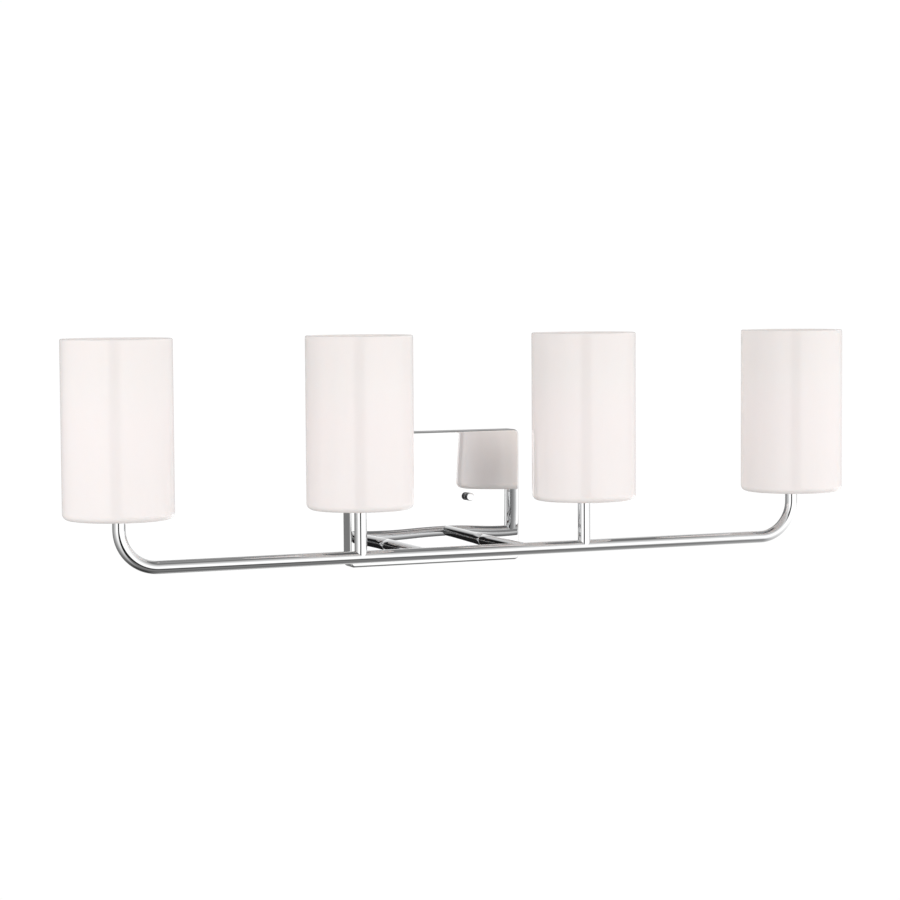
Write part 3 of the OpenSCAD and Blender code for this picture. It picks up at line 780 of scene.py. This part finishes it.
def add_camera():
    data = bpy.data.cameras.new("camera")
    data.sensor_width = 36
    data.lens = CAM_LENS
    data.clip_end = 60
    cam = bpy.data.objects.new("camera", data)
    bpy.context.scene.collection.objects.link(cam)
    reach = math.cos(CAM_PITCH)
    ahead = Vector((math.sin(CAM_YAW) * reach, math.cos(CAM_YAW) * reach, -math.sin(CAM_PITCH)))
    level = Vector((math.cos(CAM_YAW), -math.sin(CAM_YAW), 0))
    over = level.cross(ahead)
    right = level * math.cos(CAM_ROLL) + over * math.sin(CAM_ROLL)
    up = over * math.cos(CAM_ROLL) - level * math.sin(CAM_ROLL)
    cam.matrix_world = Matrix((
        (right.x, up.x, -ahead.x, CAM_AT.x),
        (right.y, up.y, -ahead.y, CAM_AT.y),
        (right.z, up.z, -ahead.z, CAM_AT.z),
        (0, 0, 0, 1)))
    bpy.context.scene.camera = cam


add_camera()


def studio_light():
    """Light from all round but for a dark gap at the photographer, dimmer behind, above and below."""
    world = bpy.data.worlds.new("studio")
    bpy.context.scene.world = world
    world.use_nodes = True
    nt = world.node_tree
    back = nt.nodes["Background"]
    coord = nt.nodes.new("ShaderNodeTexCoord")
    split = nt.nodes.new("ShaderNodeSeparateXYZ")
    nt.links.new(coord.outputs["Generated"], split.inputs[0])

    def math_node(op, a, b=None, c=None):
        node = nt.nodes.new("ShaderNodeMath")
        node.operation = op
        for socket, value in zip(node.inputs, (a, b, c)):
            if value is None:
                continue
            if isinstance(value, (int, float)):
                socket.default_value = value
            else:
                nt.links.new(value, socket)
        return node.outputs[0]

    x, y, z = split.outputs
    toward = (CAM_AT.x / math.hypot(CAM_AT.x, CAM_AT.y), CAM_AT.y / math.hypot(CAM_AT.x, CAM_AT.y))
    ahead = math_node("ADD", math_node("MULTIPLY", x, toward[0]), math_node("MULTIPLY", y, toward[1]))
    right = math_node("ADD", math_node("MULTIPLY", x, -toward[1]), math_node("MULTIPLY", y, toward[0]))
    angle = math_node("ARCTAN2", right, ahead)
    below = math_node("MAXIMUM", math_node("SUBTRACT", math_node("MULTIPLY", z, -1.0), 0.1), 0.0)
    above = math_node("MAXIMUM", math_node("SUBTRACT", z, 0.1), 0.0)
    widened = math_node("ADD", math_node("MULTIPLY", below, 8.0), math_node("MULTIPLY", above, 2.5))
    one_side = math_node("MULTIPLY", widened, math_node("GREATER_THAN", angle, 0.0))
    squeezed = math_node("DIVIDE", angle, math_node("ADD", 1.0, one_side))
    turn = math_node("ADD", math_node("DIVIDE", squeezed, TAU), 0.5)
    around = ramp_node(nt, [(d / 360 + 0.5, v) for d, v in (
        (-180, 0.26), (-134, 0.16), (-108, 0.24), (-90, 0.34), (-70, 0.46), (-50, 0.68), (-34, 0.95),
        (-10, 0.92), (10, 0.9), (20, 0.95), (32, 1.0), (76, 1.0), (105, 0.8), (135, 0.5), (180, 0.26))])
    nt.links.new(turn, around.inputs[0])
    gap = ramp_node(nt, [(d / 360 + 0.5, v) for d, v in (
        (-180, 0), (-11, 0), (-7, 1), (11, 1), (15, 0), (180, 0))])
    nt.links.new(turn, gap.inputs[0])
    low = ramp_node(nt, [((zz + 1) / 2, v) for zz, v in (
        (-1, 0.2), (-0.7, 0.7), (-0.5, 1), (0.34, 1), (0.42, 0), (1, 0))])
    height = math_node("ADD", math_node("MULTIPLY", z, 0.5), 0.5)
    tall = ramp_node(nt, [((zz + 1) / 2, v) for zz, v in (
        (-1, 0.08), (-0.96, 0.13), (-0.9, 0.26), (-0.78, 0.43), (-0.6, 0.6), (-0.3, 0.88), (-0.1, 1.0),
        (0.12, 1.0), (0.25, 0.85), (0.5, 0.6), (0.73, 0.35), (0.86, 0.12), (0.93, 0.22), (1, 0.3))])
    nt.links.new(height, tall.inputs[0])
    nt.links.new(height, low.inputs[0])
    dark = math_node("MULTIPLY", gap.outputs[0], low.outputs[0])
    open_part = math_node("SUBTRACT", 1.0, math_node("MULTIPLY", dark, 0.985))
    product = math_node("MULTIPLY", math_node("MULTIPLY", around.outputs[0], tall.outputs[0]), open_part)
    strength = math_node("MULTIPLY", product, 1.42)
    nt.links.new(strength, back.inputs["Strength"])
    back.inputs["Color"].default_value = (1.0, 0.995, 0.99, 1)


studio_light()


def staged(name, mesh, material):
    obj = bpy.data.objects.new(name, mesh)
    bpy.context.scene.collection.objects.link(obj)
    mesh.materials.append(material)
    return obj


def backdrop():
    """A white surround that only the camera sees, and a pale floor that fades into it."""
    mesh = bpy.data.meshes.new("surround")
    bm = bmesh.new()
    bmesh.ops.create_uvsphere(bm, u_segments=64, v_segments=32, radius=12)
    bm.to_mesh(mesh)
    bm.free()
    mat = bpy.data.materials.new("surround_white")
    mat.use_nodes = True
    nt = mat.node_tree
    nt.nodes.clear()
    out = nt.nodes.new("ShaderNodeOutputMaterial")
    glow = nt.nodes.new("ShaderNodeEmission")
    glow.inputs["Strength"].default_value = 1.02
    nt.links.new(glow.outputs[0], out.inputs["Surface"])
    dome = staged("surround", mesh, mat)
    for kind in ("diffuse", "glossy", "transmission", "volume_scatter", "shadow"):
        setattr(dome, f"visible_{kind}", False)

    floor_z = -1.15
    mesh = bpy.data.meshes.new("floor")
    bm = bmesh.new()
    bmesh.ops.create_circle(bm, cap_ends=True, cap_tris=True, segments=128, radius=3.2)
    bm.to_mesh(mesh)
    bm.free()
    mat = bpy.data.materials.new("floor_pale")
    mat.use_nodes = True
    nt = mat.node_tree
    bsdf = nt.nodes["Principled BSDF"]
    bsdf.inputs["Base Color"].default_value = (0.86, 0.855, 0.85, 1)
    bsdf.inputs["Roughness"].default_value = 0.7
    glow = nt.nodes.new("ShaderNodeEmission")
    glow.inputs["Strength"].default_value = 1.02
    mix = nt.nodes.new("ShaderNodeMixShader")
    coord = nt.nodes.new("ShaderNodeTexCoord")
    length = nt.nodes.new("ShaderNodeVectorMath")
    length.operation = "LENGTH"
    fade = nt.nodes.new("ShaderNodeMapRange")
    fade.interpolation_type = "SMOOTHSTEP"
    fade.inputs["From Min"].default_value = 1.4
    fade.inputs["From Max"].default_value = 3.0
    nt.links.new(coord.outputs["Object"], length.inputs[0])
    nt.links.new(length.outputs["Value"], fade.inputs["Value"])
    nt.links.new(fade.outputs[0], mix.inputs[0])
    nt.links.new(bsdf.outputs[0], mix.inputs[1])
    nt.links.new(glow.outputs[0], mix.inputs[2])
    nt.links.new(mix.outputs[0], nt.nodes["Material Output"].inputs["Surface"])
    floor = staged("floor", mesh, mat)
    floor.location = (0, 0, floor_z)
    floor.visible_glossy = False


backdrop()


def soft_box(name, place, aim, size, power, tint=(1.0, 1.0, 1.0)):
    """A soft light that the chrome doesn't show."""
    data = bpy.data.lights.new(name, "AREA")
    data.energy = power
    data.size = size
    data.color = tint
    box = bpy.data.objects.new(name, data)
    bpy.context.scene.collection.objects.link(box)
    box.location = place
    box.rotation_euler = (Vector(aim) - Vector(place)).to_track_quat("-Z", "Y").to_euler()
    box.visible_glossy = False


soft_box("key", (-0.6, -2.0, 1.8), (0, -0.1, 0), 1.6, 7)
soft_box("left_fill", (-1.2, -0.5, 0.15), (-0.35, -0.11, 0.08), 0.7, 1.5)
soft_box("side_fill", (-1.3, 0.35, 0.1), (-0.2, -0.11, 0.08), 0.7, 2.8)
soft_box("right_fill", (1.2, -1.1, 0.2), (0.35, -0.11, 0.08), 0.8, 1.2)
soft_box("back_fill", (0.0, 1.5, 0.6), (0.1, -0.1, 0.08), 1.2, 20, (1.0, 0.95, 0.88))

view = bpy.context.scene.view_settings
view.view_transform = "Standard"
view.look = "None"
